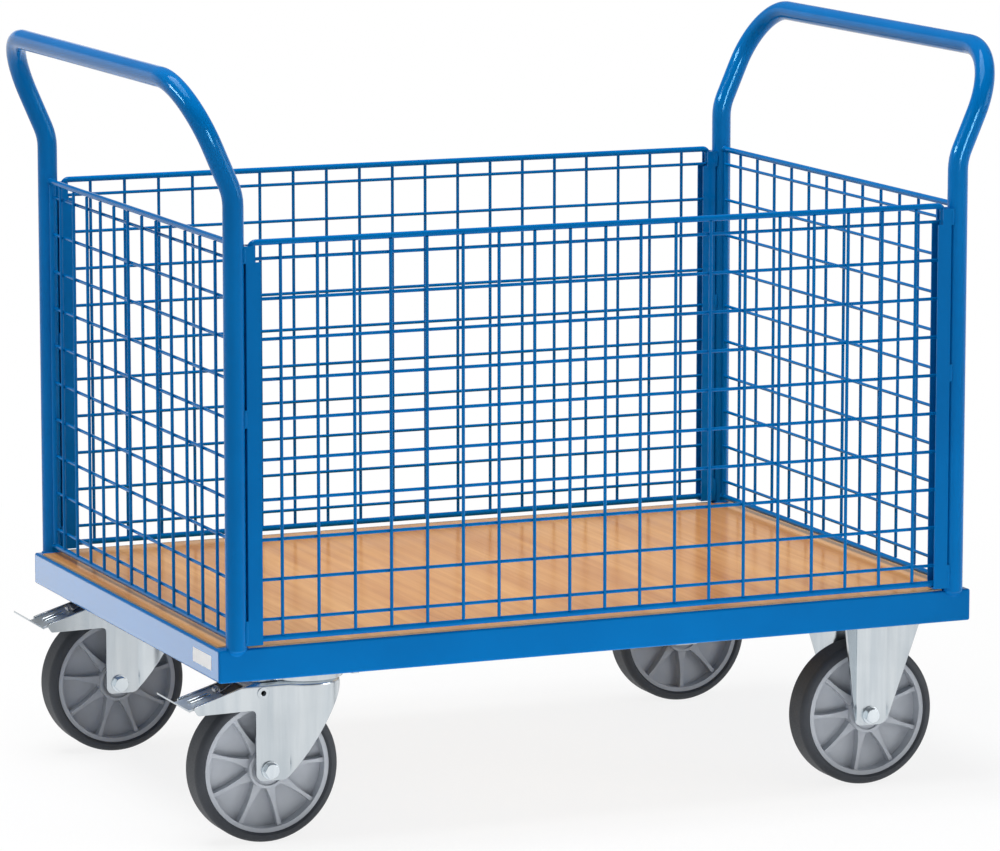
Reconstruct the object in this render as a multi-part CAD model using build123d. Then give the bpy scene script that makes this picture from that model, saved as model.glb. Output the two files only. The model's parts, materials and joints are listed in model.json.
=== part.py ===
from build123d import *
import math
import os

# Four-sided mesh trolley, in millimetres.
# The origin is on the floor under the platform's centre: X runs along the length, Y across, Z up.

# Wheels
wheel_radius = 98.0
tyre_width = 48.0
tyre_inner_radius = 85.0
tyre_shoulder = 9.0
rim_width = 42.0
rim_lip = 6.0
web_thickness = 10.0
rib_count = 9
rib_hub_width = 16.0
rib_middle_width = 4.6
rib_rim_width = 7.0
rib_recess = 4.0
hub_radius = 26.0
hub_side_gap = 4.5
hub_groove_inner = 18.5
hub_groove_outer = 22.0
hub_groove_depth = 3.0
bearing_wall = 4.0
bearing_length = 20.0
sleeve_radius = 10.0
axle_diameter = 12.0
running_gap = 0.05
bolt_hole_gap = 0.1

# Castor forks
tyre_side_gap = 5.0
cheek_thickness = 3.5
cheek_axle_margin = 14.0
fork_bend_radius = 8.0
crown_clearance = 14.0
crown_thickness = 4.0
skirt_radius = 46.0
skirt_blend = 16.0
race_radius = 50.0
race_bore_radius = 30.0
race_height = 11.0
race_gap = 0.1
kingpin_diameter = 12.0
kingpin_head_radius = 10.0
kingpin_head_height = 6.0
castor_plate_length = 135.0
castor_plate_width = 110.0
castor_plate_thickness = 5.0
plate_bolt_spacing_x = 105.0
plate_bolt_spacing_y = 85.0
plate_bolt_diameter = 8.0
plate_bolt_hole_gap = 0.25

# Castor places
castor_side_inset = 77.5
swivel_axis_inset = 145.5
swivel_trail = 60.0
fixed_axle_inset = 125.5

# How far each wheel has turned where it stands, in degrees
wheel_turns = {
    "front_left": -3.0,
    "front_right": -20.0,
    "rear_left": -12.0,
    "rear_right": -30.0,
}

# Swivel fork's side view, from the axle
leg_front = 19.0
leg_foot_back = 24.0
head_drop = 8.0
arm_root = 20.0
arm_reach = 105.0
arm_fall = 26.0
arm_tip_height = 11.0
arm_tip_slant = 7.0
arm_root_height = 36.0
fork_foot_radius = 10.0
fork_back_radius = 12.0
arm_tip_radius = 3.0
arm_root_radius = 6.0

# Fixed fork, half widths from the axle
fixed_leg = 22.5
fixed_top = 54.0
fixed_fold = 21.5
fixed_fold_radius = 5.0
fixed_flare_angle = 46.4
fixed_foot_radius = 12.0
fixed_plate_margin = 2.5
fixed_bolt_inset = 11.5
fixed_bolt_offset = 2.5

# Brake
pivot_ahead = 9.0
pivot_drop = 14.0
rivet_radius = 5.0
rivet_bore_radius = 3.5
rivet_flange_radius = 8.0
rivet_flange_thickness = 1.5
ear_thickness = 3.0
ear_side_gap = 1.0
ear_radius = 7.4
ear_end_radius = 5.0
ear_neck_radius = 4.0
pedal_thickness = 2.5
pedal_recess = 2.0
pedal_plate_start = 60.0
pedal_tip_gap = 4.0
tread_length = 22.0
tread_rise = 14.0
slot_length = 30.0
slot_width = 9.0
shoe_tyre_gap = 8.0
shoe_back = 33.0
shoe_ear_gap = 0.1

# Axle bolt and nut, plate bolts and nuts
axle_head_width = 18.0
axle_head_height = 7.0
axle_head_chamfer = 1.2
axle_flange_radius = 12.0
axle_flange_thickness = 2.5
axle_nut_height = 10.0
axle_bolt_overhang = 2.0
plate_head_width = 13.0
plate_head_height = 5.5
plate_nut_height = 6.5
plate_bolt_overhang = 2.0

# Platform frame and deck
frame_length = 1075.0
frame_width = 745.0
rail_height = 43.0
rail_wall = 4.0
rail_corner_radius = 3.0
castor_recess = 3.5
ledge_width = 30.0
ledge_thickness = 4.0
cross_member_width = 150.0
cross_member_wall = 4.0
deck_thickness = 15.0
deck_proud = 1.5
deck_end_gap = 2.0
deck_side_gap = 0.5
corner_plate_thickness = 4.0
corner_plate_margin = 2.0

# Handle hoops
post_end_inset = 25.0
post_side_inset = 4.5
post_diameter = 27.0
post_wall = 2.0
lean_start = 61.4
lean_offset = 62.0
lean_rise = 143.0
lean_bend_radius = 70.0
bar_bend_radius = 90.0

# Mesh walls
rod_diameter = 8.0
wire_diameter = 4.4
weld_bite = 0.4
wall_lift = 10.7
wall_height = 509.4
loop_corner_radius = 8.0
side_column_pitch = 50.0
end_column_pitch = 55.8
row_pitch = 51.6
top_row_drop = 21.1
end_wall_gap = 0.1

# Guide channels of the long walls
channel_width = 20.0
channel_depth = 19.5
channel_wall = 2.0
channel_post_gap = 0.05
channel_top_drop = 3.0
channel_foot_thickness = 2.0
channel_foot_gap = 0.2
notch_depth = 7.0
notch_height = 21.0
panel_web_gap = 2.5
top_weld_length = 22.0
middle_weld_length = 23.0
middle_weld_drop = 209.0
foot_weld_length = 32.0
weld_reach = 4.0

# Heights and places that follow from the sizes above
axle_z = wheel_radius
crown_under = 2 * wheel_radius + crown_clearance
crown_top = crown_under + crown_thickness
plate_under = crown_top + race_height
castor_top = plate_under + castor_plate_thickness
frame_bottom = castor_top - castor_recess
frame_top = frame_bottom + rail_height
deck_top = frame_top + deck_proud
deck_bottom = deck_top - deck_thickness
ledge_bottom = deck_bottom - ledge_thickness
wall_bottom = frame_top + wall_lift
wall_top = wall_bottom + wall_height
half_length = frame_length / 2
half_width = frame_width / 2
post_x = half_length - post_end_inset
post_y = half_width - post_side_inset
post_radius = post_diameter / 2
rod_radius = rod_diameter / 2
wire_radius = wire_diameter / 2
fork_inner = tyre_width / 2 + tyre_side_gap
fork_outer = fork_inner + cheek_thickness
hub_half = fork_inner - hub_side_gap
hub_bore_radius = sleeve_radius + running_gap + bearing_wall
half_track = half_width - castor_side_inset
swivel_axis_x = -half_length + swivel_axis_inset
swivel_axle_x = swivel_axis_x - swivel_trail
fixed_axle_x = half_length - fixed_axle_inset
head_back = swivel_trail + skirt_radius
pivot_x = -pivot_ahead
pivot_z = crown_top - pivot_drop
fixed_flare = math.tan(math.radians(fixed_flare_angle))
fixed_plate_length = 2 * (fixed_top + fixed_plate_margin)
fixed_plate_width = 2 * (fork_outer + fixed_flare * (fixed_top - fixed_fold) + fixed_plate_margin)
swivel_bolt_spacing = (plate_bolt_spacing_x, plate_bolt_spacing_y)
fixed_bolt_spacing = (2 * (fixed_top - fixed_bolt_inset), 2 * (fork_outer + fixed_bolt_offset))


def box(x0, x1, y0, y1, z0, z1):
    """A box between two corners."""
    middle = Pos((x0 + x1) / 2, (y0 + y1) / 2, (z0 + z1) / 2)
    return middle * Box(x1 - x0, y1 - y0, z1 - z0)


def rod(start, end, radius):
    """A round bar from one point to another."""
    span = Vector(*end) - Vector(*start)
    return Solid.make_cylinder(radius, span.length, Plane(origin=start, z_dir=span))


def group(pieces):
    """Several separate solids as one node."""
    return Compound(children=list(pieces))


def bend(before, corner, after, radius):
    """Start, middle and end of the arc that rounds a corner."""
    back = (before - corner).normalized()
    ahead = (after - corner).normalized()
    half_angle = math.radians(back.get_angle(ahead)) / 2
    inward = (back + ahead).normalized()
    tangent = radius / math.tan(half_angle)
    middle = corner + inward * (radius / math.sin(half_angle) - radius)
    return corner + back * tangent, middle, corner + ahead * tangent


def rounded_path(points, radii, closed):
    """Straight stretches through the points, with an arc at each corner that has a radius."""
    corners = [Vector(*point) for point in points]
    count = len(corners)
    stops = []
    for index, corner in enumerate(corners):
        if radii[index] > 0:
            stops.append(bend(corners[index - 1], corner, corners[(index + 1) % count], radii[index]))
        else:
            stops.append((corner,))
    edges = []
    for index, stop in enumerate(stops):
        if len(stop) == 3:
            edges.append(Edge.make_three_point_arc(*stop))
        if index + 1 < count or closed:
            edges.append(Edge.make_line(stop[-1], stops[(index + 1) % count][0]))
    return Wire(edges)


def side_outline(points, radii):
    """A face in the XZ plane from (x, z) corners."""
    return Face(rounded_path([(x, 0, z) for x, z in points], radii, True))


def across(outline, y0, y1):
    """A side outline made solid from y0 to y1."""
    return extrude(outline.moved(Pos(0, y0, 0)), amount=y1 - y0, dir=(0, 1, 0))


def hexagon(width, height):
    """A hexagonal prism standing on the XY plane, given its width across flats."""
    return extrude(RegularPolygon(width / 2, 6, major_radius=False), amount=height)


# Platform frame

def long_rail():
    """The front rail: an upright face with a ledge behind it that carries the deck."""
    face_back = -half_width + rail_wall
    face_plate = box(-half_length, half_length, -half_width, face_back, frame_bottom, frame_top)
    outer_edges = face_plate.edges().group_by(Axis.Y)[:-1]
    face_plate = fillet([edge for level in outer_edges for edge in level], rail_corner_radius)
    ledge_end = half_length - rail_wall
    ledge = box(-ledge_end, ledge_end, face_back, face_back + ledge_width, ledge_bottom, deck_bottom)
    return face_plate + ledge


def end_rail():
    """The left end rail, set between the long rails."""
    face_y = half_width - rail_wall
    ledge_y = face_y - ledge_width
    face_back = -half_length + rail_wall
    face_plate = box(-half_length, face_back, -face_y, face_y, frame_bottom, frame_top)
    outer_edges = face_plate.edges().filter_by(Axis.Y).group_by(Axis.X)[0]
    face_plate = fillet(outer_edges, rail_corner_radius)
    ledge = box(face_back, face_back + ledge_width, -ledge_y, ledge_y, ledge_bottom, deck_bottom)
    return face_plate + ledge


def corner_plate():
    """The plate in the front left corner, flush with the frame's top, under an upright."""
    inner_x = -post_x + post_radius + corner_plate_margin
    inner_y = -post_y + post_radius + corner_plate_margin
    plate_bottom = frame_top - corner_plate_thickness
    outer_x = -half_length + rail_wall
    outer_y = -half_width + rail_wall
    return box(outer_x, inner_x, outer_y, inner_y, plate_bottom, frame_top)


def deck_board():
    """The board, notched at its corners round the corner plates."""
    board_x = half_length - rail_wall - deck_end_gap
    board_y = half_width - rail_wall - deck_side_gap
    notch_x = post_x - post_radius - corner_plate_margin - deck_side_gap
    notch_y = post_y - post_radius - corner_plate_margin - deck_side_gap
    across_notches = box(-board_x, board_x, -notch_y, notch_y, deck_bottom, deck_top)
    along_notches = box(-notch_x, notch_x, -board_y, board_y, deck_bottom, deck_top)
    return across_notches + along_notches


def bolt_square(spacing):
    """The centres of a castor plate's four bolts, round X = Y = 0."""
    return [(x * spacing[0], y * spacing[1]) for x in (-0.5, 0.5) for y in (-0.5, 0.5)]


def plate_bolt_places(plate_x, spacing):
    """The centres of the bolts of the two castor plates at one end."""
    return [(plate_x + x, side * half_track + y) for side in (-1, 1) for x, y in bolt_square(spacing)]


def all_bolt_places():
    """The centres of the bolts of all four castor plates."""
    places = plate_bolt_places(swivel_axis_x, swivel_bolt_spacing)
    return places + plate_bolt_places(fixed_axle_x, fixed_bolt_spacing)


def bolt_holes(places, z0, z1):
    """Clearance holes for plate bolts between two heights."""
    radius = plate_bolt_diameter / 2 + plate_bolt_hole_gap
    return [rod((x, y, z0), (x, y, z1), radius) for x, y in places]


def cross_member(plate_x, spacing):
    """An upward channel from rail to rail that the castors of one end are bolted to."""
    edge = cross_member_width / 2
    end_y = half_width - rail_wall
    web_top = castor_top + cross_member_wall
    web = box(plate_x - edge, plate_x + edge, -end_y, end_y, castor_top, web_top)
    flanges = [
        box(x, x + cross_member_wall, -end_y, end_y, web_top, ledge_bottom)
        for x in (plate_x - edge, plate_x + edge - cross_member_wall)
    ]
    return web + flanges - bolt_holes(plate_bolt_places(plate_x, spacing), castor_top, web_top)


# Handle hoops

def handle_hoop():
    """The right hoop: two uprights that lean outwards above the wall and meet in a bar."""
    lean_z = wall_top + lean_start
    bar_x = post_x + lean_offset
    bar_z = lean_z + lean_rise
    points = [
        (post_x, -post_y, frame_top),
        (post_x, -post_y, lean_z),
        (bar_x, -post_y, bar_z),
        (bar_x, post_y, bar_z),
        (post_x, post_y, lean_z),
        (post_x, post_y, frame_top),
    ]
    radii = [0, lean_bend_radius, bar_bend_radius, bar_bend_radius, lean_bend_radius, 0]
    path = rounded_path(points, radii, False)
    section = Circle(post_radius) - Circle(post_radius - post_wall)
    return sweep(Pos(*points[0]) * section, path=path)


# Mesh walls

rod_reach = rod_radius - weld_bite


def rod_loop(half_span):
    """The bent rod round a long panel, in the XZ plane."""
    x = half_span
    corners = [(-x, 0, wall_bottom), (x, 0, wall_bottom), (x, 0, wall_top), (-x, 0, wall_top)]
    path = rounded_path(corners, [loop_corner_radius] * 4, True)
    start = Plane(origin=path @ 0, z_dir=path % 0)
    return [sweep(start * Circle(rod_radius), path=path).solid()]


def rod_frame(half_span):
    """Four straight rods round an end wall, in the XZ plane, the level ones right up to the uprights."""
    end_x = half_span + rod_radius
    level_rods = [rod((-end_x, 0, z), (end_x, 0, z), rod_radius) for z in (wall_bottom, wall_top)]
    foot = wall_bottom + rod_reach
    head = wall_top - rod_reach
    return level_rods + [rod((x, 0, foot), (x, 0, head), rod_radius) for x in (-half_span, half_span)]


def mesh_wires(half_span, column_pitch):
    """The wires of a wall whose outside is towards -Y: columns outside, rows inside."""
    wires = []
    column_count = int(2 * half_span / column_pitch)
    for column in range(column_count):
        x = (column - (column_count - 1) / 2) * column_pitch
        foot = (x, -wire_radius, wall_bottom + rod_reach)
        wires.append(rod(foot, (x, -wire_radius, wall_top - rod_reach), wire_radius))
    row_count = int((wall_height - top_row_drop) / row_pitch) + 1
    for row in range(row_count):
        z = wall_top - top_row_drop - row * row_pitch
        end_x = half_span - rod_reach
        wires.append(rod((-end_x, wire_radius, z), (end_x, wire_radius, z), wire_radius))
    return wires


# Guide channels

def guide_channel():
    """A channel beside an upright at the origin, open towards +X, with a foot for the panel."""
    web_x = post_radius + channel_post_gap
    mouth_x = web_x + channel_depth
    edge_y = channel_width / 2
    inner_y = edge_y - channel_wall
    top_z = wall_top - channel_top_drop
    foot_top = wall_bottom - rod_radius - channel_foot_gap
    foot_z = foot_top - channel_foot_thickness
    channel = box(web_x, web_x + channel_wall, -edge_y, edge_y, foot_z, top_z)
    channel += box(web_x + channel_wall, mouth_x, -inner_y, inner_y, foot_z, foot_top)
    for y in (-edge_y, inner_y):
        flange = box(web_x + channel_wall, mouth_x, y, y + channel_wall, foot_z, top_z)
        notch = box(mouth_x - notch_depth, mouth_x, y, y + channel_wall, top_z - notch_height, top_z)
        channel += flange - notch
    post = rod((0, 0, foot_z), (0, 0, top_z), post_radius + channel_post_gap)
    middle_weld_z = top_z - middle_weld_drop
    for weld_z, length in (
        (top_z - top_weld_length, top_weld_length),
        (middle_weld_z - middle_weld_length, middle_weld_length),
        (foot_z, foot_weld_length),
    ):
        for y in (-edge_y, edge_y - weld_reach):
            weld = box(web_x - weld_reach, web_x, y, y + weld_reach, weld_z, weld_z + length)
            channel += weld - post
    return channel


# Wheels, with the axle along Z and the middle at the origin

def tyre():
    """The tyre, with rounded shoulders."""
    edge = tyre_width / 2
    seat = rim_width / 2
    points = [
        (tyre_inner_radius, 0, -seat),
        (tyre_inner_radius + edge - seat, 0, -edge),
        (wheel_radius, 0, -edge),
        (wheel_radius, 0, edge),
        (tyre_inner_radius + edge - seat, 0, edge),
        (tyre_inner_radius, 0, seat),
    ]
    radii = [0, 0, tyre_shoulder, tyre_shoulder, 0, 0]
    return revolve(Face(rounded_path(points, radii, True)), axis=Axis.Z)


def ring(inner_radius, outer_radius, half_height):
    """A ring round Z, the same above and below the XY plane."""
    height = 2 * half_height
    return Cylinder(outer_radius, height) - Cylinder(inner_radius, height)


def wheel_rim():
    """The rim: lip, web, ribs on both faces and a hub that holds the bearings."""
    lip_inner = tyre_inner_radius - rim_lip
    rim = ring(lip_inner, tyre_inner_radius, rim_width / 2)
    web = ring(hub_bore_radius, tyre_inner_radius - rim_lip, web_thickness / 2)
    rib_start = (hub_radius + hub_bore_radius) / 2
    rib_end = tyre_inner_radius - rim_lip / 2
    rib_middle = (hub_radius + 2 * lip_inner) / 3
    flanks = [
        Edge.make_three_point_arc(
            (rib_start, side * rib_hub_width / 2, 0),
            (rib_middle, side * rib_middle_width / 2, 0),
            (rib_end, side * rib_rim_width / 2, 0),
        )
        for side in (-1, 1)
    ]
    ends = [Edge.make_line(flanks[0] @ end, flanks[1] @ end) for end in (0, 1)]
    rib = extrude(Face(Wire(flanks + ends)), amount=rim_width / 2 - rib_recess, both=True)
    ribs = [Rot(0, 0, 360 * index / rib_count) * rib for index in range(rib_count)]
    groove = ring(hub_groove_inner, hub_groove_outer, hub_groove_depth / 2)
    grooves = [Pos(0, 0, side * (hub_half - hub_groove_depth / 2)) * groove for side in (-1, 1)]
    return rim + [web, ring(hub_bore_radius, hub_radius, hub_half)] + ribs - grooves


def wheel_bearings():
    """A bearing at each end of the hub."""
    bearing = ring(sleeve_radius + running_gap, hub_bore_radius, bearing_length / 2)
    place = hub_half - bearing_length / 2
    return group([Pos(0, 0, side * place) * bearing for side in (-1, 1)])


# Axles, with the bolt along Z and its head at the lower end

def axle_sleeve():
    """The tube between the fork's cheeks that the wheel turns on."""
    return ring(axle_diameter / 2 + bolt_hole_gap, sleeve_radius, fork_inner)


def axle_bolt():
    """The bolt through the fork and the sleeve."""
    end = fork_outer + axle_nut_height + axle_bolt_overhang
    flange_z = -fork_outer - axle_flange_thickness
    flange = rod((0, 0, flange_z), (0, 0, -fork_outer), axle_flange_radius)
    head_z = flange_z - axle_head_height
    crown = rod((0, 0, head_z), (0, 0, flange_z), axle_head_width / math.sqrt(3))
    crown = chamfer(crown.edges().group_by(Axis.Z)[0], axle_head_chamfer)
    head = crown & Pos(0, 0, head_z) * hexagon(axle_head_width, axle_head_height)
    return head + [flange, rod((0, 0, -fork_outer), (0, 0, end), axle_diameter / 2)]


def axle_nut():
    """The nut on the other cheek."""
    nut = hexagon(axle_head_width, axle_nut_height)
    bore = rod((0, 0, 0), (0, 0, axle_nut_height), axle_diameter / 2 + running_gap)
    return Pos(0, 0, fork_outer) * (nut - bore)


# Castors, with the axle's middle at X = Y = 0

def axle_hole():
    """The hole for the axle bolt through both cheeks."""
    radius = axle_diameter / 2 + bolt_hole_gap
    return rod((0, -fork_outer, axle_z), (0, fork_outer, axle_z), radius)


def arm_top(x):
    """The height of the arms' top edge at a place ahead of the axle."""
    return crown_top + (x + arm_root) * arm_fall / (arm_reach - arm_root)


def side_section(half_span, top, radius):
    """A tall section in (y, z) that stands on the floor, round at its two upper corners."""
    points = [(-half_span, 0, 0), (half_span, 0, 0), (half_span, top, 0), (-half_span, top, 0)]
    return Face(rounded_path(points, [0, 0, radius, radius], True))


def fork_form(half_span, top, bend_radius, wall):
    """Flat cheeks that fold into a round skirt under the swivel head, filled solid."""
    section = Plane.YZ * side_section(half_span, top, bend_radius)
    front = -arm_reach - arm_tip_slant
    flat = extrude(Pos(front, 0, 0) * section, amount=swivel_trail + skirt_blend - front, dir=(1, 0, 0))
    skirt = rod((swivel_trail, 0, 0), (swivel_trail, 0, top), skirt_radius - wall)
    return flat + fillet(skirt.edges().group_by(Axis.Z)[-1], bend_radius)


def swivel_fork():
    """The fork of a swivel castor: crown, two cheeks and two arms that hold the brake."""
    foot_z = axle_z - cheek_axle_margin
    tip_z = arm_top(-arm_reach)
    arm_under = crown_top - arm_root_height
    points = [
        (-leg_front, foot_z),
        (leg_foot_back, foot_z),
        (head_back, crown_top - head_drop),
        (head_back, crown_top),
        (-arm_root, crown_top),
        (-arm_reach, tip_z),
        (-arm_reach + arm_tip_slant, tip_z - arm_tip_height),
        (-leg_front, arm_under),
    ]
    radii = [
        fork_foot_radius, fork_back_radius, 0, 0, 0, arm_tip_radius, arm_tip_radius, arm_root_radius
    ]
    outline = across(side_outline(points, radii), -skirt_radius, skirt_radius)
    outside = fork_form(fork_outer, crown_top, fork_bend_radius, 0)
    inside = fork_form(fork_inner, crown_under, fork_bend_radius - cheek_thickness, cheek_thickness)
    king_radius = kingpin_diameter / 2 + running_gap
    king = rod((swivel_trail, 0, crown_under), (swivel_trail, 0, crown_top), king_radius)
    pivot = rod((pivot_x, -fork_outer, pivot_z), (pivot_x, fork_outer, pivot_z), rivet_radius + running_gap)
    return (outline & outside) - [inside, king, pivot, axle_hole()]


def fixed_cheek_plan():
    """A fixed cheek seen from above: flat at the axle, its front and back flared outwards."""
    inner_fold = fixed_fold + cheek_thickness * math.tan(math.radians(fixed_flare_angle / 2))
    end_x = fixed_top + cheek_thickness
    outer_end = fork_outer + fixed_flare * (end_x - fixed_fold)
    inner_end = fork_inner + fixed_flare * (end_x - inner_fold)
    outer = [(end_x, outer_end), (fixed_fold, fork_outer), (-fixed_fold, fork_outer), (-end_x, outer_end)]
    inner = [(-end_x, inner_end), (-inner_fold, fork_inner), (inner_fold, fork_inner), (end_x, inner_end)]
    inner_radius = fixed_fold_radius + cheek_thickness
    radii = [0, fixed_fold_radius, fixed_fold_radius, 0, 0, inner_radius, inner_radius, 0]
    return Face(rounded_path([(x, y, 0) for x, y in outer + inner], radii, True))


def fixed_fork():
    """The fork of a fixed castor: a bolted plate with two cheeks that flare towards it."""
    foot_z = axle_z - cheek_axle_margin
    points = [
        (-fixed_leg, foot_z),
        (fixed_leg, foot_z),
        (fixed_top, plate_under),
        (-fixed_top, plate_under),
    ]
    outline = side_outline(points, [fixed_foot_radius, fixed_foot_radius, 0, 0])
    strip = extrude(fixed_cheek_plan(), amount=plate_under, dir=(0, 0, 1))
    cheek = strip & across(outline, 0, fixed_plate_width / 2)
    plate = castor_plate(fixed_plate_length, fixed_plate_width, fixed_bolt_spacing)
    return plate + [cheek, mirror(cheek, Plane.XZ)] - axle_hole()


def castor_plate(length, width, spacing):
    """A castor's top plate with its bolt holes, its middle at X = Y = 0."""
    plate = box(-length / 2, length / 2, -width / 2, width / 2, plate_under, castor_top)
    return plate - bolt_holes(bolt_square(spacing), plate_under, castor_top)


def swivel_plate():
    """A swivel castor's top plate, with the kingpin's hole."""
    plate = castor_plate(castor_plate_length, castor_plate_width, swivel_bolt_spacing)
    return plate - rod((0, 0, plate_under), (0, 0, castor_top), kingpin_diameter / 2)


def swivel_race():
    """The ball race under the plate."""
    bottom = crown_top + race_gap
    height = plate_under - bottom
    blank = Pos(0, 0, bottom + height / 2) * Cylinder(race_radius, height)
    return blank - Pos(0, 0, bottom + height / 2) * Cylinder(race_bore_radius, height)


def kingpin():
    """The pin that the fork swivels on, headed under the crown."""
    head_top = crown_under - race_gap
    head = rod((0, 0, head_top - kingpin_head_height), (0, 0, head_top), kingpin_head_radius)
    return head.fuse(rod((0, 0, head_top), (0, 0, castor_top), kingpin_diameter / 2))


# Brake of a swivel castor

ear_outer = fork_inner - ear_side_gap
ear_inner = ear_outer - ear_thickness


def pedal_top(x):
    """The height of the pedal's upper face between the arms."""
    return arm_top(x) - pedal_recess


def brake_pedal():
    """The pedal: a slotted plate, a tread turned up at the tip and two ears to the pivot."""
    tip_x = -arm_reach - pedal_tip_gap
    start_x = -pedal_plate_start
    plate_side = sloped_strip(tip_x, pedal_top(tip_x), start_x, pedal_top(start_x))
    plate = across(plate_side, -ear_outer, ear_outer)
    slot_end = start_x - slot_width
    slot = box(slot_end - slot_length, slot_end, -slot_width / 2, slot_width / 2, 0, crown_top)
    tread_x = tip_x - tread_length
    tread = sloped_strip(tread_x, pedal_top(tip_x) + tread_rise, tip_x, pedal_top(tip_x))
    ear_points = [
        (tip_x, pedal_top(tip_x)),
        (tip_x, pedal_top(tip_x) - pedal_thickness),
        (start_x, pedal_top(start_x) - ear_radius),
        (pivot_x, pivot_z - ear_radius),
        (pivot_x + ear_radius, pivot_z - ear_radius),
        (pivot_x + ear_radius, pivot_z + ear_radius),
        (pivot_x - ear_radius, pivot_z + ear_radius),
        (start_x, pedal_top(start_x)),
    ]
    end = ear_end_radius
    neck = ear_neck_radius
    ear_outline = side_outline(ear_points, [0, 0, neck, 0, end, end, neck, 0])
    ears = [across(ear_outline, y, y + ear_thickness) for y in (-ear_outer, ear_inner)]
    hole = Pos(pivot_x, 0, pivot_z) * Rot(90, 0, 0) * Cylinder(rivet_radius + running_gap, 2 * fork_outer)
    return plate + [across(tread, -fork_outer, fork_outer)] + ears - [slot, hole]


def sloped_strip(x0, z0, x1, z1):
    """The side view of a thin strip, given its upper edge."""
    points = [(x0, z0), (x1, z1), (x1, z1 - pedal_thickness), (x0, z0 - pedal_thickness)]
    return side_outline(points, [0, 0, 0, 0])


def brake_block():
    """The black block between the ears, hollowed to the tyre."""
    front_x = -pedal_plate_start
    back_x = -shoe_back
    points = [
        (front_x, axle_z),
        (back_x, axle_z),
        (back_x, pedal_top(back_x)),
        (front_x, pedal_top(front_x)),
    ]
    side = ear_inner - shoe_ear_gap
    blank = across(side_outline(points, [0, 0, 0, 0]), -side, side)
    return blank - rod((0, -fork_outer, axle_z), (0, fork_outer, axle_z), wheel_radius + shoe_tyre_gap)


def brake_rivets():
    """The hollow rivets that the pedal tips on, one through each cheek."""
    rivets = []
    for side in (-1, 1):
        inner = (pivot_x, side * ear_inner, pivot_z)
        face = (pivot_x, side * fork_outer, pivot_z)
        end = (pivot_x, side * (fork_outer + rivet_flange_thickness), pivot_z)
        solid = rod(inner, face, rivet_radius).fuse(rod(face, end, rivet_flange_radius))
        rivets.append(solid.cut(rod(inner, end, rivet_bore_radius)))
    return group(rivets)


# Plate bolts and nuts

def plate_bolts():
    """The bolts of all four castor plates, with their heads below."""
    head = hexagon(plate_head_width, plate_head_height)
    shank_top = castor_top + cross_member_wall + plate_nut_height + plate_bolt_overhang
    bolts = []
    for x, y in all_bolt_places():
        shank = rod((x, y, plate_under), (x, y, shank_top), plate_bolt_diameter / 2)
        bolts.append(Pos(x, y, plate_under - plate_head_height) * head + shank)
    return group(bolts)


def plate_nuts():
    """The nuts on the bolts, inside the cross members."""
    bore = rod((0, 0, 0), (0, 0, plate_nut_height), plate_bolt_diameter / 2 + running_gap)
    nut = hexagon(plate_head_width, plate_nut_height) - bore
    seat = castor_top + cross_member_wall
    return group([Pos(x, y, seat) * nut for x, y in all_bolt_places()])


# Assembly

nodes = {}
half_turn = Rot(0, 0, 180)

nodes["front_rail"] = long_rail()
nodes["rear_rail"] = half_turn * nodes["front_rail"]
nodes["left_end_rail"] = end_rail()
nodes["right_end_rail"] = half_turn * nodes["left_end_rail"]
nodes["left_cross_member"] = cross_member(swivel_axis_x, swivel_bolt_spacing)
nodes["right_cross_member"] = cross_member(fixed_axle_x, fixed_bolt_spacing)
front_left_plate = corner_plate()
corner_plates = [front_left_plate, mirror(front_left_plate, Plane.XZ)]
nodes["corner_plates"] = group(corner_plates + [half_turn * plate for plate in corner_plates])
nodes["deck_board"] = deck_board()

nodes["right_handle_hoop"] = handle_hoop()
nodes["left_handle_hoop"] = half_turn * nodes["right_handle_hoop"]

channel_web_x = post_x - post_radius - channel_post_gap - channel_wall
side_span = channel_web_x - panel_web_gap - rod_radius
end_span = post_y - post_radius - rod_radius - end_wall_gap
side_wall = group(rod_loop(side_span) + mesh_wires(side_span, side_column_pitch))
end_wall = group(rod_frame(end_span) + mesh_wires(end_span, end_column_pitch))
nodes["front_mesh_panel"] = Pos(0, -post_y, 0) * side_wall
nodes["rear_mesh_panel"] = Pos(0, post_y, 0) * half_turn * side_wall
nodes["left_end_mesh"] = Pos(-post_x, 0, 0) * Rot(0, 0, -90) * end_wall
nodes["right_end_mesh"] = Pos(post_x, 0, 0) * Rot(0, 0, 90) * end_wall

channel = guide_channel()
for depth_name, y in (("front", -post_y), ("rear", post_y)):
    nodes[depth_name + "_left_channel"] = Pos(-post_x, y, 0) * channel
    nodes[depth_name + "_right_channel"] = Pos(post_x, y, 0) * half_turn * channel

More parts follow.
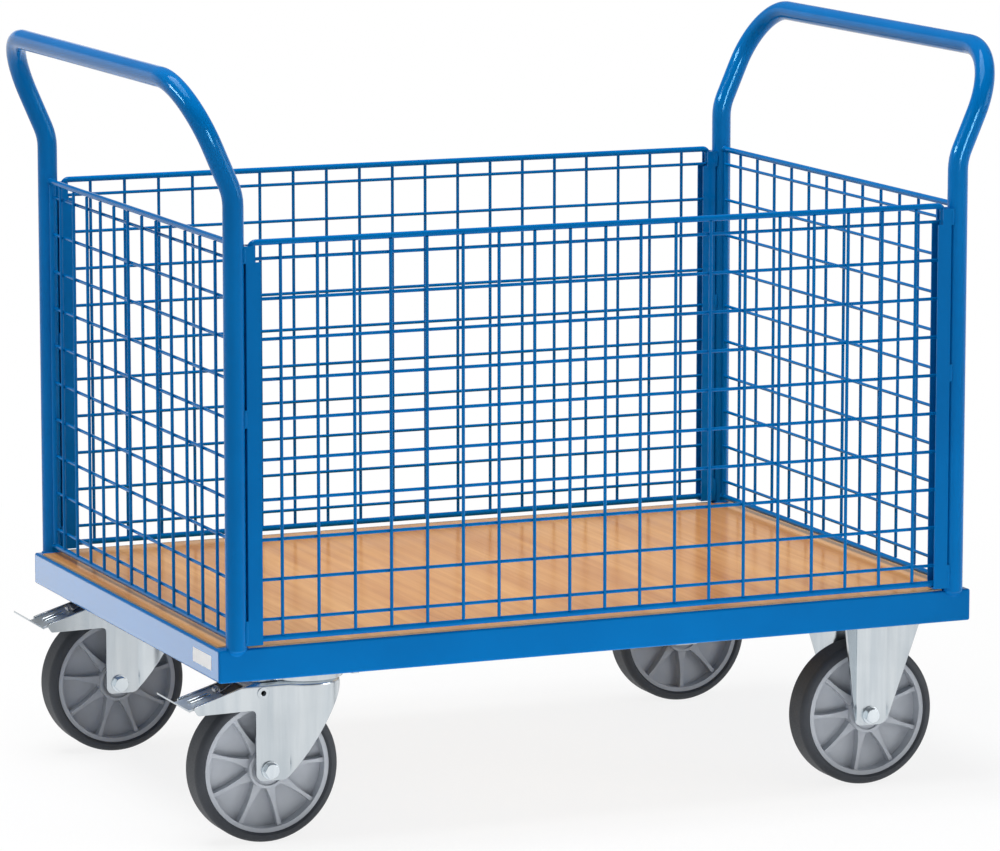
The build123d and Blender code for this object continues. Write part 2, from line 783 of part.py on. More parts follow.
wheel_pieces = {
    "tyre": tyre(),
    "wheel_rim": wheel_rim(),
    "wheel_bearings": wheel_bearings(),
    "axle_sleeve": axle_sleeve(),
    "axle_bolt": axle_bolt(),
    "axle_nut": axle_nut(),
}
swivel_pieces = {
    "castor_plate": Pos(swivel_trail, 0, 0) * swivel_plate(),
    "swivel_race": Pos(swivel_trail, 0, 0) * swivel_race(),
    "kingpin": Pos(swivel_trail, 0, 0) * kingpin(),
    "castor_fork": swivel_fork(),
    "brake_pedal": brake_pedal(),
    "brake_block": brake_block(),
    "brake_rivets": brake_rivets(),
}
fixed_pieces = {"castor_fork": fixed_fork()}
wheel_pose = Pos(0, 0, axle_z) * Rot(-90, 0, 0)
for depth_name, y in (("front", -half_track), ("rear", half_track)):
    for end_name, x, castor_pieces in (
        ("left", swivel_axle_x, swivel_pieces),
        ("right", fixed_axle_x, fixed_pieces),
    ):
        corner = depth_name + "_" + end_name
        for name, piece in castor_pieces.items():
            nodes[corner + "_" + name] = Pos(x, y, 0) * piece
        for name, piece in wheel_pieces.items():
            turn = Rot(0, 0, wheel_turns[corner])
            nodes[corner + "_" + name] = Pos(x, y, 0) * wheel_pose * turn * piece

nodes["castor_plate_bolts"] = plate_bolts()
nodes["castor_plate_nuts"] = plate_nuts()

os.makedirs("parts", exist_ok=True)
for name, shape in nodes.items():
    export_step(shape, "parts/" + name + ".step")
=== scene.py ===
# %% [markdown]
# # A four-sided mesh trolley
# A welded blue frame carries a beech board, two handle hoops, four mesh walls and four castors.
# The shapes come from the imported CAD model, which is loaded as a fixed frame and never moved.
# This lesson gives each piece its finish, adds what welding and pressing leave behind, and sets light
# and camera.

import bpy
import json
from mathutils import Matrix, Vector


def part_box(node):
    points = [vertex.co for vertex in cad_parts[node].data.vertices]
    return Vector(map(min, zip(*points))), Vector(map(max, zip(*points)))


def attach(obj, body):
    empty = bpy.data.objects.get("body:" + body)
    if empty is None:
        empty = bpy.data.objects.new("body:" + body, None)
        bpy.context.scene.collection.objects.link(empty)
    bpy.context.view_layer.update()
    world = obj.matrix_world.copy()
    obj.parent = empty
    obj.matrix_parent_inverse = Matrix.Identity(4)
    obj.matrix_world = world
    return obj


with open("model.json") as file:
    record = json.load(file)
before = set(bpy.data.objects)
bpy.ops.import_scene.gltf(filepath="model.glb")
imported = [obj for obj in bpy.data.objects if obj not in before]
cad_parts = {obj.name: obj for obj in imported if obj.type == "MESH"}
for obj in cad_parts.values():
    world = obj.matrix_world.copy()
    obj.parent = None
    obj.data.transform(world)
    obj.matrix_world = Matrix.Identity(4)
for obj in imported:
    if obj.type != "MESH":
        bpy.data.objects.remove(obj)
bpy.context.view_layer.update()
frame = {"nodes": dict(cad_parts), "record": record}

# %% [markdown]
# ## Finishes
# Every finish is a node material on Object coordinates, so a pattern stays on its piece when the piece
# moves. A painted image could do the same, but nodes keep their detail at any distance and need no file.
# Three helpers start a material and add its nodes, because a line for every link would hide the recipe.

# %% Helpers for nodes
import bpy


def connect(owner, node, **links):
    """Links outputs to a node's inputs, or sets plain values, in a material or in the world."""
    for name, value in links.items():
        socket = node.inputs[name.replace("_", " ")]
        if isinstance(value, bpy.types.NodeSocket):
            owner.node_tree.links.new(value, socket)
        else:
            socket.default_value = value


def add_node(owner, kind, **links):
    """A new node, with each named input linked to an output or set to a value."""
    node = owner.node_tree.nodes.new(kind)
    connect(owner, node, **links)
    return node


def start_finish(name):
    """A new material: the material, its main shader and its Object coordinates."""
    finish = bpy.data.materials.new(name)
    finish.use_nodes = True
    shader = finish.node_tree.nodes["Principled BSDF"]
    place = add_node(finish, "ShaderNodeTexCoord").outputs["Object"]
    return finish, shader, place


print("Blender", bpy.app.version_string)

# %% [markdown]
# ### Noise, colour and bump
# No real surface has one flat colour. Noise gives it clouds, streaks and grain, a ramp turns the noise into
# colours, and a bump turns it into small heights. Noise rarely comes near 0 or 1, so a finish is spread
# over the values that are usual.

# %% Helpers for noise, colour and bump
usual_least, usual_most = 0.3, 0.7


def spots(finish, place, per_metre, detail=2.0, stretch=(1, 1, 1)):
    """Cloudy noise, with so many spots to a metre, stretched into streaks where asked."""
    scaled = add_node(finish, "ShaderNodeMapping", Vector=place, Scale=stretch)
    texture = add_node(
        finish, "ShaderNodeTexNoise", Vector=scaled.outputs["Vector"], Scale=per_metre, Detail=detail
    )
    return texture.outputs["Fac"]


def colours(finish, factor, stops):
    """A colour for each value of a factor, from stops of (place, red, green, blue)."""
    ramp = add_node(finish, "ShaderNodeValToRGB", Fac=factor)
    elements = ramp.color_ramp.elements
    while len(elements) < len(stops):
        elements.new(0.5)
    for element, (position, *colour) in zip(elements, stops):
        element.position = position
        element.color = (*colour, 1)
    return ramp.outputs["Color"]


def two_tones(finish, factor, first, last):
    """One colour where the noise is at its usual least, and another at its usual most."""
    return colours(finish, factor, [(usual_least, *first), (usual_most, *last)])


def between(finish, factor, low, high):
    """A value from low to high as the noise goes from its usual least to its usual most."""
    span = add_node(
        finish, "ShaderNodeMapRange", Value=factor,
        From_Min=usual_least, From_Max=usual_most, To_Min=low, To_Max=high,
    )
    return span.outputs["Result"]


def blend(finish, first, second, kind="MULTIPLY", factor=1.0):
    """Two colours multiplied or mixed."""
    mix = add_node(finish, "ShaderNodeMix")
    mix.data_type = "RGBA"
    mix.blend_type = kind
    connect(finish, mix, Factor=factor)
    first_colour, second_colour = [socket for socket in mix.inputs if socket.type == "RGBA"]
    finish.node_tree.links.new(first, first_colour)
    finish.node_tree.links.new(second, second_colour)
    return [socket for socket in mix.outputs if socket.type == "RGBA"][0]


def rough_surface(finish, shader, height, depth, edge_radius=0.0):
    """A bump of a real depth in metres, over edges that the shader rounds a little."""
    bump = add_node(finish, "ShaderNodeBump", Height=height, Distance=depth)
    if edge_radius > 0:
        edge = add_node(finish, "ShaderNodeBevel", Radius=edge_radius)
        connect(finish, bump, Normal=edge.outputs["Normal"])
    connect(finish, shader, Normal=bump.outputs["Normal"])


print("noise runs from about", usual_least, "to", usual_most)

# %% [markdown]
# ### Blue powder coat
# Frame, hoops, walls and channels are sprayed with powder and baked, which leaves a glossy skin with a
# faint orange peel. Cloudy noise shifts the blue and the gloss a little, and fine noise gives the peel its
# bump. A clear coat layer could give the gloss too, but one layer with a bluish tint keeps the colour deep
# where the surface faces the viewer.

# %% Blue powder coat
finish_of_slot = {}


def powder_coat():
    """Glossy blue, a little cloudy in tone and gloss, with a faint orange peel."""
    finish, shader, place = start_finish("blue_powder_coat")
    cloud = spots(finish, place, per_metre=7.0, detail=3.0)
    peel = spots(finish, place, per_metre=330.0, detail=1.5)
    connect(
        finish, shader,
        Base_Color=two_tones(finish, cloud, (0.0, 0.136, 0.42), (0.0, 0.156, 0.47)),
        Roughness=between(finish, cloud, 0.1, 0.14),
        Specular_Tint=(0.3, 0.75, 1.0, 1.0), Specular_IOR_Level=0.17,
    )
    rough_surface(finish, shader, peel, depth=0.000003)
    return finish


finish_of_slot["blue_paint"] = powder_coat()
print("made", finish_of_slot["blue_paint"].name)

# %% [markdown]
# ### Beech board
# The deck is a coated board with a beech pattern. Beech has a fine straight grain, here across the trolley,
# in bands of a lighter and a darker tone. A wave texture could draw bands, but it repeats, so three noises
# are stretched along the grain instead: bands, streaks and pores. The coating is satin, so the board mirrors
# the uprights softly. Its cut edge is paler than its face, so the colour steps to plain wood just under the
# top.

# %% Beech board
deck_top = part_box("deck_board")[1].z
face_depth, cut_depth = 0.0003, 0.0006


def beech_board():
    """Bands, streaks and pores along the grain, and plain wood where the board is cut."""
    finish, shader, place = start_finish("beech_board")
    tone = spots(finish, place, per_metre=5.0, detail=4.0, stretch=(4.0, 0.35, 1.0))
    grain = spots(finish, place, per_metre=30.0, detail=5.0, stretch=(3.0, 0.08, 1.0))
    pore = spots(finish, place, per_metre=300.0, detail=2.0, stretch=(2.0, 0.06, 1.0))
    wood = colours(
        finish, tone, [(0.3, 0.62, 0.27, 0.072), (0.5, 0.7, 0.33, 0.092), (0.7, 0.77, 0.385, 0.118)]
    )
    streaks = colours(finish, grain, [(0.32, 0.86, 0.78, 0.68), (0.62, 1.0, 1.0, 1.0)])
    pores = colours(finish, pore, [(0.3, 0.95, 0.93, 0.9), (0.5, 1.0, 1.0, 1.0)])
    face = blend(finish, blend(finish, wood, streaks), pores)
    cut = two_tones(finish, tone, (0.8, 0.6, 0.38), (0.87, 0.7, 0.48))
    height = add_node(finish, "ShaderNodeSeparateXYZ", Vector=place).outputs["Z"]
    on_face = add_node(
        finish, "ShaderNodeMapRange", Value=height,
        From_Min=deck_top - cut_depth, From_Max=deck_top - face_depth,
    ).outputs["Result"]
    connect(
        finish, shader, Base_Color=blend(finish, cut, face, kind="MIX", factor=on_face),
        Roughness=between(finish, grain, 0.16, 0.22), Specular_IOR_Level=0.12,
    )
    rough_surface(finish, shader, pore, depth=0.00002)
    return finish


finish_of_slot["wood_decor"] = beech_board()
print("made", finish_of_slot["wood_decor"].name, "with its face at", round(deck_top, 4), "m")

# %% [markdown]
# ### Zinc plate
# Forks, plates, pedals and bolts are zinc plated, which looks like pale satin silver with soft upright
# streaks. The bolts come out of the bath brighter than the sheet, and the pressed pedals duller, so one
# recipe takes a tone and a roughness and gives three finishes. Sheet edges catch the light, and a bevel in
# the shader shows that without a change to the CAD mesh.

# %% Zinc plate
def zinc_plate(name, smoothest, roughest, tone=1.0):
    """Zinc plating with its own roughness, and with a tone of 1 for sheet."""
    finish, shader, place = start_finish(name)
    cloud = spots(finish, place, per_metre=14.0, detail=2.0)
    drawn = spots(finish, place, per_metre=75.0, detail=3.0, stretch=(1.0, 1.0, 0.06))
    grain = spots(finish, place, per_metre=900.0, detail=1.0)
    darker = [tone * part for part in (0.59, 0.635, 0.665)]
    lighter = [tone * part for part in (0.69, 0.735, 0.765)]
    silver = two_tones(finish, cloud, darker, lighter)
    sheen = colours(finish, drawn, [(0.35, 0.86, 0.88, 0.9), (0.65, 1.0, 1.0, 1.0)])
    connect(
        finish, shader, Base_Color=blend(finish, silver, sheen), Metallic=1.0,
        Roughness=between(finish, cloud, smoothest, roughest),
    )
    rough_surface(finish, shader, grain, depth=0.00001, edge_radius=0.0008)
    return finish


finish_of_slot["zinc"] = zinc_plate("zinc_plate", smoothest=0.18, roughest=0.27)
finish_of_ending = {
    "_axle_bolt": zinc_plate("bolt_zinc", smoothest=0.16, roughest=0.22, tone=1.22),
    "_brake_pedal": zinc_plate("pedal_zinc", smoothest=0.36, roughest=0.46),
}
print("made", finish_of_slot["zinc"].name, *[finish.name for finish in finish_of_ending.values()])

# %% [markdown]
# ### Bearing steel
# Bearings and springs are bare steel, darker than zinc, with fine rings from turning. An anisotropic shader
# could bend the highlights as such rings do, but so little of this steel shows that noise stretched round the
# axle is enough.

# %% Bearing steel
def bearing_steel():
    """Bare steel with fine rings round the axle, which lies along Y."""
    finish, shader, place = start_finish("bearing_steel")
    rings = spots(finish, place, per_metre=300.0, detail=2.0, stretch=(0.2, 1.0, 0.2))
    connect(
        finish, shader, Metallic=1.0,
        Base_Color=two_tones(finish, rings, (0.42, 0.43, 0.45), (0.55, 0.56, 0.58)),
        Roughness=between(finish, rings, 0.22, 0.34),
    )
    return finish


finish_of_slot["bearing_steel"] = bearing_steel()
print("made", finish_of_slot["bearing_steel"].name)

# %% [markdown]
# ### Moulded rubber and plastics
# The tyres are dark grey rubber, the rims mid-grey plastic, and the brake blocks black plastic. Each could
# have a recipe of its own, but all three come out of a mould, so one serves them: clouds shift the tone, and
# the grain of the mould goes into gloss and bump.

# %% Moulded rubber and plastics
def moulded(name, clouds, tones, grains, roughness, depth, edge_radius=0.0):
    """Clouds and grains are spots to a metre and their detail. Tones and roughness go from low to high."""
    finish, shader, place = start_finish(name)
    cloud = spots(finish, place, *clouds)
    grain = spots(finish, place, *grains)
    connect(
        finish, shader, Base_Color=two_tones(finish, cloud, *tones),
        Roughness=between(finish, grain, *roughness),
    )
    rough_surface(finish, shader, grain, depth, edge_radius)
    return finish


finish_of_slot["rim_plastic"] = moulded(
    "rim_plastic", clouds=(30.0, 3.0), tones=((0.4, 0.43, 0.475), (0.455, 0.485, 0.53)),
    grains=(700.0, 2.0), roughness=(0.3, 0.42), depth=0.00006, edge_radius=0.0012,
)
finish_of_slot["tyre_rubber"] = moulded(
    "tyre_rubber", clouds=(26.0, 4.0), tones=((0.029, 0.034, 0.043), (0.038, 0.044, 0.054)),
    grains=(520.0, 2.0), roughness=(0.52, 0.68), depth=0.0001,
)
finish_of_slot["black_plastic"] = moulded(
    "black_plastic", clouds=(60.0, 3.0), tones=((0.01, 0.01, 0.011), (0.018, 0.018, 0.02)),
    grains=(800.0, 1.0), roughness=(0.4, 0.55), depth=0.00006, edge_radius=0.0008,
)
print("finishes:", sorted(finish_of_slot))

# %% [markdown]
# ### Dress the CAD nodes
# The record names a material slot for each node. Putting the finish in the node's own slot leaves its mesh
# alone. Axle bolts and pedals take their own zinc, which goes by the ending of the node's name.

# %% Dress the CAD nodes
for subpart in frame["record"]["subparts"]:
    node = frame["nodes"][subpart["node"]]
    finish = finish_of_slot[subpart["material_slot"]]
    for ending, own_finish in finish_of_ending.items():
        if subpart["node"].endswith(ending):
            finish = own_finish
    for material_slot in node.material_slots:
        material_slot.material = finish

# %% [markdown]
# ## What welding and pressing leave
# Small pieces stay out of the CAD model: weld, the lips round the pedal's slot, its spring and a blank
# label. Each starts as a simple bmesh shape in its place, because bmesh operators need no selection and no
# edit mode. The helpers close the shapes, make them one object, dress it and let it ride on a body.

# %% Helpers for small pieces
import bmesh
import math
from mathutils import Matrix, Vector

sharp_angle = math.radians(40)
merge_distance = 0.000005


def as_mesh(name, shape):
    """A mesh made from a bmesh, which is freed."""
    mesh = bpy.data.meshes.new(name)
    shape.to_mesh(mesh)
    shape.free()
    return mesh


def add_object(name, data):
    """A new object in the scene, at the origin."""
    added = bpy.data.objects.new(name, data)
    bpy.context.scene.collection.objects.link(added)
    return added


def join_shapes(shapes):
    """One bmesh of many: each is closed up, its faces turned outwards and its sharp edges marked."""
    whole = bmesh.new()
    for shape in shapes:
        bmesh.ops.remove_doubles(shape, verts=shape.verts, dist=merge_distance)
        bmesh.ops.recalc_face_normals(shape, faces=shape.faces)
        for face in shape.faces:
            face.smooth = True
        for edge in shape.edges:
            edge.smooth = edge.calc_face_angle(0.0) < sharp_angle
        part = as_mesh("part", shape)
        whole.from_mesh(part)
        bpy.data.meshes.remove(part)
    return whole


def finish_piece(name, shapes, slot, body, finish=None):
    """Makes shapes one object at the origin, dressed and riding on a body."""
    mesh = as_mesh(name, join_shapes(shapes))
    mesh.materials.append(finish or finish_of_slot[slot])
    piece = add_object(name, mesh)
    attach(piece, body)
    print("made", name, len(mesh.polygons), "faces, on", body)


print("edges over", round(math.degrees(sharp_angle)), "degrees stay sharp")

# %% [markdown]
# ### Blends at the feet of the uprights
# Each upright stands a little outside the rail, and the weld runs down from its overhang onto the rail's
# face. A sculpted lump would do, but a cone of the tube's own radius fits without a gap: its rings move in
# towards the rail as they go down, slowly at both ends, and a cut along the rail leaves only the part
# outside.

# %% Blends at the feet of the uprights
hoop_low, hoop_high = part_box("right_handle_hoop")
rail_low, rail_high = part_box("front_rail")
tube_radius = 0.0135
post_x = hoop_low.x + tube_radius
post_y = hoop_high.y - tube_radius
rail_top = rail_high.z
rail_face = -rail_low.y
overhang = post_y + tube_radius - rail_face
blend_height = 0.01
hidden_depth = 0.002


def cut_off(shape, place, away):
    """Cuts a shape by a plane, removes the side that the direction points to and closes the cut."""
    bmesh.ops.bisect_plane(
        shape, geom=shape.verts[:] + shape.edges[:] + shape.faces[:],
        plane_co=place, plane_no=away, clear_outer=True,
    )
    bmesh.ops.holes_fill(shape, edges=[edge for edge in shape.edges if edge.is_boundary])


def foot_blend(x, side):
    """The blend under one upright's overhang, cut off just inside the rail's face."""
    shape = bmesh.new()
    bmesh.ops.create_cone(
        shape, cap_ends=True, segments=64, radius1=tube_radius, radius2=tube_radius, depth=blend_height,
        matrix=Matrix.Translation((x, side * post_y, rail_top - blend_height / 2)),
    )
    upright_edges = [
        edge for edge in shape.edges
        if abs(edge.verts[0].co.z - edge.verts[1].co.z) > blend_height / 2
    ]
    bmesh.ops.subdivide_edges(shape, edges=upright_edges, cuts=15)
    for vert in shape.verts:
        drop = (rail_top - vert.co.z) / blend_height
        vert.co.y -= side * overhang * drop * drop * (3 - 2 * drop)
    cut_off(shape, (x, side * (rail_face - hidden_depth), rail_top), (0, -side, 0))
    return shape


print("the uprights overhang the rail by", round(overhang * 1000, 1), "mm")

# %% [markdown]
# ### Rings at the feet of the uprights
# Further in, a thin ring of weld closes the joint between upright and rail. A torus would do, and a small
# circle spun round the upright is just that. It is cut off at the rail's face, where the blend takes over.

# %% Rings at the feet of the uprights
weld_size = 0.0018


def foot_ring(x, side):
    """A ring of weld round one upright's foot, inside the rail's face."""
    shape = bmesh.new()
    bmesh.ops.create_circle(
        shape, segments=10, radius=weld_size,
        matrix=Matrix.Translation((x + tube_radius, side * post_y, rail_top))
        @ Matrix.Rotation(math.pi / 2, 4, "X"),
    )
    bmesh.ops.spin(
        shape, geom=shape.verts[:] + shape.edges[:], cent=(x, side * post_y, rail_top), axis=(0, 0, 1),
        angle=2 * math.pi, steps=48, use_merge=True,
    )
    cut_off(shape, (x, side * (rail_face - weld_size), rail_top), (0, side, 0))
    return shape


feet = []
for foot_x in (-post_x, post_x):
    for foot_side in (-1, 1):
        feet += [foot_blend(foot_x, foot_side), foot_ring(foot_x, foot_side)]
finish_piece("upright_foot_welds", feet, "blue_paint", "chassis")

# %% [markdown]
# ### Weld seams
# A channel is welded to its upright in three places, and the end walls' rods are welded to the uprights.
# A run of weld could be swept along a curve, but paint leaves these as smooth swellings, so each seam is one
# small ball, stretched to its length and put in the joint.

# %% Weld seams
channel_low, channel_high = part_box("front_left_channel")
wall_low, wall_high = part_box("left_end_mesh")
outer_face = -channel_low.y
inner_face = 2 * post_y - outer_face
seam_offset = 0.0113
seam_inset = 0.0004
seam_half_width, seam_half_thickness = 0.0026, 0.0014
rod_radius = 0.004
rod_weld = (0.0052, 0.0026, 0.0052)
below_top = ((0.022, 0.001), (0.232, 0.209))
above_foot = (0.001, 0.032)
seam_spans = [(channel_high.z - low, channel_high.z - high) for low, high in below_top]
seam_spans.append(tuple(channel_low.z + rise for rise in above_foot))


def stretched(place, sizes, turn=Matrix()):
    """Where a shape of size 1 goes: its middle, its sizes and its turn."""
    return Matrix.Translation(place) @ turn @ Matrix.Diagonal((*sizes, 1.0))


def bead(place, half_sizes):
    """A ball of weld with its three half sizes."""
    shape = bmesh.new()
    bmesh.ops.create_uvsphere(
        shape, u_segments=16, v_segments=12, radius=1.0, matrix=stretched(place, half_sizes)
    )
    return shape


seams = []
for end in (-1, 1):
    for side in (-1, 1):
        for face_y in (outer_face - seam_inset, inner_face + seam_inset):
            for low, high in seam_spans:
                middle = (end * (post_x - seam_offset), side * face_y, (low + high) / 2)
                seams.append(bead(middle, (seam_half_width, seam_half_thickness, (high - low) / 2)))
        for rod_z in (wall_low.z + rod_radius, wall_high.z - rod_radius):
            seams.append(bead((end * post_x, side * wall_high.y, rod_z), rod_weld))
finish_piece("weld_seams", seams, "blue_paint", "chassis")

# %% [markdown]
# ### Pedal lips
# The pedal's slot is pressed with a raised lip along each side. A lip could be extruded from the plate, but
# the plate's mesh belongs to the CAD model, so each lip is a cube stretched along the slope and rounded.

# %% Pedal lips
pedal_drop, pedal_run = 26.0, 85.0
pedal_slope = math.atan2(pedal_drop, pedal_run)
slot_ahead = 0.084
slot_half_width = 0.0045
lip_size = (0.031, 0.0026, 0.0042)
lip_rounding = 0.0011


def on_pedal(depth_name, ahead):
    """The place on the pedal's plate at a distance ahead of the axle, midway across the wheel."""
    tyre_low, tyre_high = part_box(depth_name + "_left_tyre")
    axle = (tyre_low + tyre_high) / 2
    block_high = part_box(depth_name + "_left_brake_block")[1]
    drop = (ahead - (axle.x - block_high.x)) * math.tan(pedal_slope)
    return Vector((axle.x - ahead, axle.y, block_high.z - drop))


def round_edges(shape, edges, radius, segments):
    """Rounds some edges of a shape."""
    bmesh.ops.bevel(
        shape, geom=edges, offset=radius, segments=segments, profile=0.5, affect="EDGES", material=-1
    )


def slot_lip(slot_place, side):
    """A raised lip along one side of the slot."""
    shape = bmesh.new()
    place = slot_place + Vector((0, side * (slot_half_width + lip_size[1] / 2), 0))
    slope = Matrix.Rotation(-pedal_slope, 4, "Y")
    bmesh.ops.create_cube(shape, size=1.0, matrix=stretched(place, lip_size, slope))
    round_edges(shape, shape.edges[:], lip_rounding, segments=3)
    return shape


print("the pedals slope by", round(math.degrees(pedal_slope), 1), "degrees")

# %% [markdown]
# ### Pedal spring
# A wound spring sits at the inner end of the pedal's slot. A curve with a bevel could draw it too. Here a
# small circle is spun round an axis that runs across the castor and moves sideways as it turns, which winds
# a real coil in one step. The spring's leg is a straight rod that lies on the block. Lips and spring then
# go on both pedals, and ride with them.

# %% Pedal spring
spring_ahead = 0.0615
spring_wire = 0.0009
spring_radius = 0.0036
spring_turns = 3.5
spring_steps = 84
spring_width = 0.013
leg_from = Vector((0.0035, -spring_width / 2, 0.0012))
leg_to = Vector((0.0255, 0.007, 0.0085))


def wound_spring(place):
    """The wound part of the spring, behind the slot."""
    shape = bmesh.new()
    centre = place + Vector((0, -spring_width / 2, spring_radius))
    bmesh.ops.create_circle(
        shape, segments=10, radius=spring_wire, cap_ends=True,
        matrix=Matrix.Translation(centre + Vector((spring_radius, 0, 0))),
    )
    wire_end = bmesh.ops.spin(
        shape, geom=shape.verts[:] + shape.edges[:], cent=centre, axis=(0, 1, 0),
        dvec=(0, spring_width / spring_steps, 0), angle=2 * math.pi * spring_turns, steps=spring_steps,
    )
    bmesh.ops.contextual_create(shape, geom=wire_end["geom_last"])
    return shape


def spring_leg(place):
    """The straight end of the spring, which lies on the block."""
    shape = bmesh.new()
    leg = leg_to - leg_from
    along = leg.to_track_quat("Z", "Y").to_matrix().to_4x4()
    bmesh.ops.create_cone(
        shape, cap_ends=True, segments=12, radius1=spring_wire, radius2=spring_wire, depth=leg.length,
        matrix=Matrix.Translation(place + (leg_from + leg_to) / 2) @ along,
    )
    return shape


for depth_name in ("front", "rear"):
    slot_place = on_pedal(depth_name, slot_ahead)
    lips = [slot_lip(slot_place, side) for side in (-1, 1)]
    finish_piece(depth_name + "_pedal_lips", lips, "zinc", depth_name + "_left_brake")
    spring_place = on_pedal(depth_name, spring_ahead)
    spring = [wound_spring(spring_place), spring_leg(spring_place)]
    finish_piece(depth_name + "_pedal_spring", spring, "bearing_steel", depth_name + "_left_brake")

# %% [markdown]
# ### Blank label
# A small film label is stuck on the left end rail, near its front corner. It carries nothing.
# A white patch in the rail's own material could stand for it, but film has a rounded outline and a thin edge,
# so it is a flat cube with its four corners rounded, set against the rail's face.

# %% Blank label
end_rail_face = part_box("left_end_rail")[0].x
film_proud, film_sunk = 0.0003, 0.0002
label_low = Vector((end_rail_face - film_proud, -0.344, 0.239))
label_high = Vector((end_rail_face + film_sunk, -0.275, 0.2575))
label_size = label_high - label_low
label_corner = 0.0018


def label_film():
    """White film, a little cloudy in tone and gloss."""
    finish, shader, place = start_finish("label_film")
    cloud = spots(finish, place, per_metre=90.0, detail=2.0)
    connect(
        finish, shader, Base_Color=two_tones(finish, cloud, (0.9, 0.9, 0.9), (0.94, 0.94, 0.93)),
        Roughness=between(finish, cloud, 0.35, 0.45),
    )
    return finish


label = bmesh.new()
bmesh.ops.create_cube(label, size=1.0, matrix=stretched((label_low + label_high) / 2, label_size))
through_edges = [
    edge for edge in label.edges
    if abs(edge.verts[0].co.x - edge.verts[1].co.x) > label_size.x / 2
]
round_edges(label, through_edges, label_corner, segments=5)
finish_piece("blank_label", [label], "rim_plastic", "chassis", finish=label_film())

# %% [markdown]
# ## Stage, light and camera
# The trolley stands before plain white. Lamps could light floor and world to full white, but so much light
# bleaches the trolley. The Light Path node tells a look from light that bounces, so floor and world can show
# white to the camera and in reflections, and still light the trolley at a plain level.

# %% Helpers for a white that is only looked at
def combine(owner, operation, first, second):
    """Two values put together by a Math node."""
    step = add_node(owner, "ShaderNodeMath")
    step.operation = operation
    owner.node_tree.links.new(first, step.inputs[0])
    owner.node_tree.links.new(second, step.inputs[1])
    return step.outputs["Value"]


def white_for_looking(owner):
    """1 for what is seen directly, in a reflection or through glass, and 0 for light that bounces."""
    path = add_node(owner, "ShaderNodeLightPath").outputs
    mirrored = combine(owner, "MAXIMUM", path["Is Camera Ray"], path["Is Glossy Ray"])
    return combine(owner, "MAXIMUM", mirrored, path["Is Transmission Ray"])


# %% [markdown]
# ### Floor
# The floor is one large flat face. Part of what the camera sees of it is its own white, and the rest is lit,
# which keeps a soft shadow. The own part grows with the distance from the trolley, up to the whole, so the
# floor's far edge can't be seen.

# %% Floor
floor_size = 60.0
floor_white = 0.92
near_share, far_share = 0.85, 1.0
near_reach, far_reach = 0.7, 2.2


def floor_finish():
    """A white that is partly lit and partly its own."""
    finish, shader, place = start_finish("floor_white")
    connect(finish, shader, Base_Color=(floor_white, floor_white, floor_white, 1), Roughness=0.9)
    white = add_node(finish, "ShaderNodeEmission", Strength=1.0)
    distance = add_node(finish, "ShaderNodeVectorMath", Vector=place)
    distance.operation = "LENGTH"
    grown = add_node(
        finish, "ShaderNodeMapRange", Value=distance.outputs["Value"],
        From_Min=near_reach, From_Max=far_reach, To_Min=near_share, To_Max=far_share,
    )
    grown.interpolation_type = "SMOOTHSTEP"
    share = combine(finish, "MULTIPLY", grown.outputs["Result"], white_for_looking(finish))
    mix = add_node(finish, "ShaderNodeMixShader", Fac=share)
    links = finish.node_tree.links
    links.new(shader.outputs["BSDF"], mix.inputs[1])
    links.new(white.outputs["Emission"], mix.inputs[2])
    connect(finish, finish.node_tree.nodes["Material Output"], Surface=mix.outputs["Shader"])
    return finish


floor_shape = bmesh.new()
bmesh.ops.create_grid(floor_shape, x_segments=1, y_segments=1, size=floor_size / 2)
floor_mesh = as_mesh("floor", floor_shape)
floor_mesh.materials.append(floor_finish())
floor = add_object("floor", floor_mesh)
print("floor", floor_size, "m wide")

# %% [markdown]
# ### World
# The world is white round the horizon and dims to a grey ceiling, which gives the round tubes their contrast.
# A picture of a studio could do that, but a ramp on the direction's height needs no file. That is what is
# seen or mirrored. Light that bounces comes from a weaker, even white.

# %% World
world_light = 0.36
ceiling = 0.2
white_up_to, ceiling_from = 0.12, 0.26

world = bpy.data.worlds.new("studio")
world.use_nodes = True
bpy.context.scene.world = world
facing = add_node(world, "ShaderNodeTexCoord").outputs["Generated"]
upward = add_node(world, "ShaderNodeSeparateXYZ", Vector=facing).outputs["Z"]
seen = add_node(
    world, "ShaderNodeMapRange", Value=upward,
    From_Min=white_up_to, From_Max=ceiling_from, To_Min=1.0, To_Max=ceiling,
)
seen.interpolation_type = "SMOOTHSTEP"
strength = add_node(
    world, "ShaderNodeMapRange", Value=white_for_looking(world),
    To_Min=world_light, To_Max=seen.outputs["Result"],
)
connect(
    world, world.node_tree.nodes["Background"], Color=(1, 1, 1, 1), Strength=strength.outputs["Result"]
)
print("world light", world_light, "and a ceiling of", ceiling)

# %% [markdown]
# ### Lamps
# A broad lamp above, on the left, lights the board and the tops of the tubes, and one in front, on the
# right, reaches the rail and the wheels. Small lamps would do it with hard shadows, so both are wide. The
# rail is a little brighter than the uprights, because the floor before it throws light up, so a weak lamp
# lies there. All lamps are hidden from the camera, because other views may have them in sight.

# %% Lamps
light_aim = (0.0, 0.0, 0.45)
floor_gap = 0.02


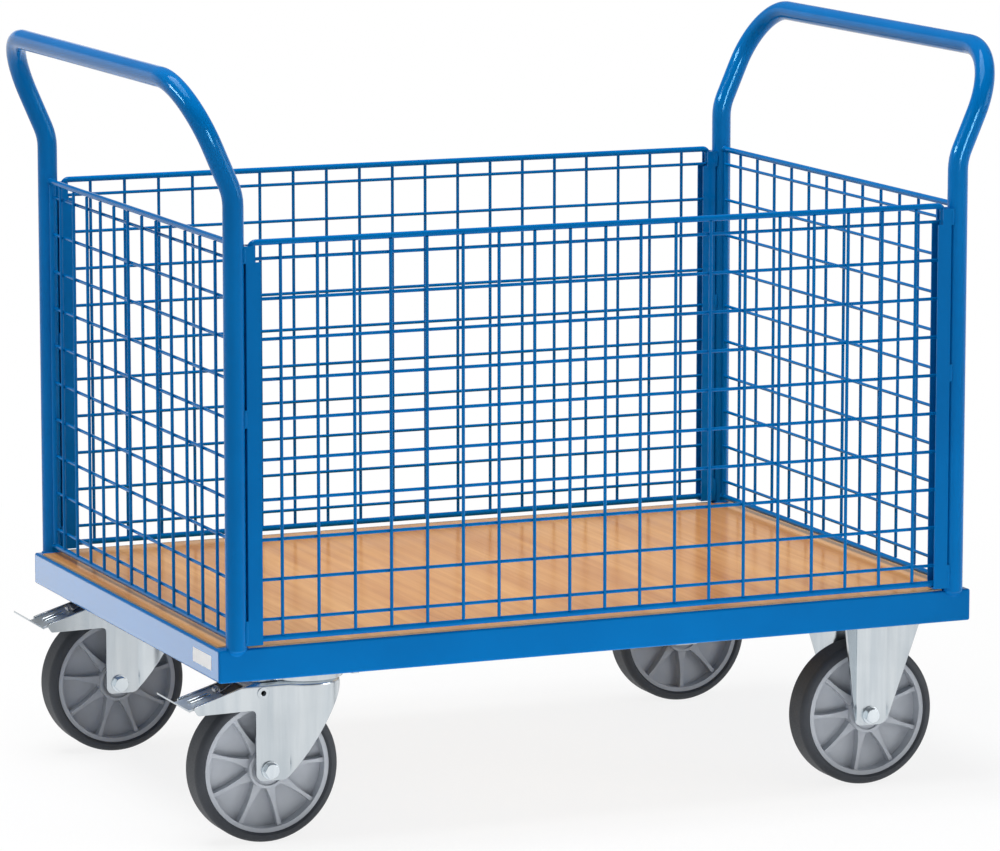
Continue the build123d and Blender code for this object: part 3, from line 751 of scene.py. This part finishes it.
def softbox(name, place, width, height, watts, aim=light_aim, gloss_on=()):
    """A rectangular lamp that points at a place. It may show only in the gloss of a few nodes."""
    lamp = bpy.data.lights.new(name, "AREA")
    lamp.shape = "RECTANGLE"
    lamp.size = width
    lamp.size_y = height
    lamp.energy = watts
    holder = add_object(name, lamp)
    holder.location = place
    holder.rotation_euler = (Vector(aim) - Vector(place)).to_track_quat("-Z", "Y").to_euler()
    holder.visible_camera = False
    if gloss_on:
        holder.visible_diffuse = False
        shone_on = bpy.data.collections.new(name + "_shone_on")
        for node_name in gloss_on:
            shone_on.objects.link(frame["nodes"][node_name])
        holder.light_linking.receiver_collection = shone_on
    print("lamp", name, watts, "W", "in the gloss of" if gloss_on else "", *gloss_on)
    return holder


def floor_lamp(name, x, y, **sizes):
    """A softbox that lies on the floor and shines straight up."""
    return softbox(name, (x, y, floor_gap), aim=(x, y, 1.0), **sizes)


softbox("top_light", (-1.0, 0.1, 4.6), width=3.2, height=2.4, watts=190.0)
softbox("front_light", (4.4, -3.4, 1.6), width=2.4, height=2.0, watts=66.0)
rail_light = floor_lamp("rail_light", -0.1, -0.53, width=1.1, height=0.24, watts=1.5)
rail_light.visible_glossy = False

# %% [markdown]
# ### Lamps for gloss alone
# The thin white streaks on the hoops are two more lamps, mirrored in the tubes, and the left end rail looks
# pale because it mirrors a bright floor behind it. These three lamps could light the whole trolley, but that
# would bleach it. So they show only in gloss, and only on the pieces that are named for them.

# %% Lamps for gloss alone
hoop_aim = (0.0, 0.0, 0.95)
hoops = ("left_handle_hoop", "right_handle_hoop")
softbox(
    "front_streak", (-0.2, -5.0, 1.55), width=1.4, height=1.5, watts=260.0, aim=hoop_aim, gloss_on=hoops
)
softbox(
    "left_streak", (-3.9, 0.2, 2.7), width=2.4, height=0.7, watts=230.0, aim=hoop_aim, gloss_on=hoops
)
floor_lamp(
    "left_floor", -1.2, 1.45, width=1.1, height=2.0, watts=16.0, gloss_on=("left_end_rail",)
)

# %% [markdown]
# ### Camera
# The picture was taken with a long lens from the front left, a little above the hoops. Such a place could be
# found by eye, but a long lens shows small errors, so it came from matching the corners of the frame, the
# wheels and the hoops.

# %% Camera
camera_data = bpy.data.cameras.new("camera")
camera_data.sensor_fit = "HORIZONTAL"
camera_data.sensor_width = 36.0
camera_data.lens = 201.4
camera_data.clip_end = 200.0
camera = add_object("camera", camera_data)
camera.location = (-2.931, -6.928, 1.694)
camera.rotation_euler = (math.radians(80.76), 0.0, math.radians(-22.99))
bpy.context.scene.camera = camera
bpy.context.scene.view_settings.view_transform = "Standard"
print("camera", tuple(camera.location), camera_data.lens, "mm")

# %% [markdown]
# ## The json module

# %% Import json
import json
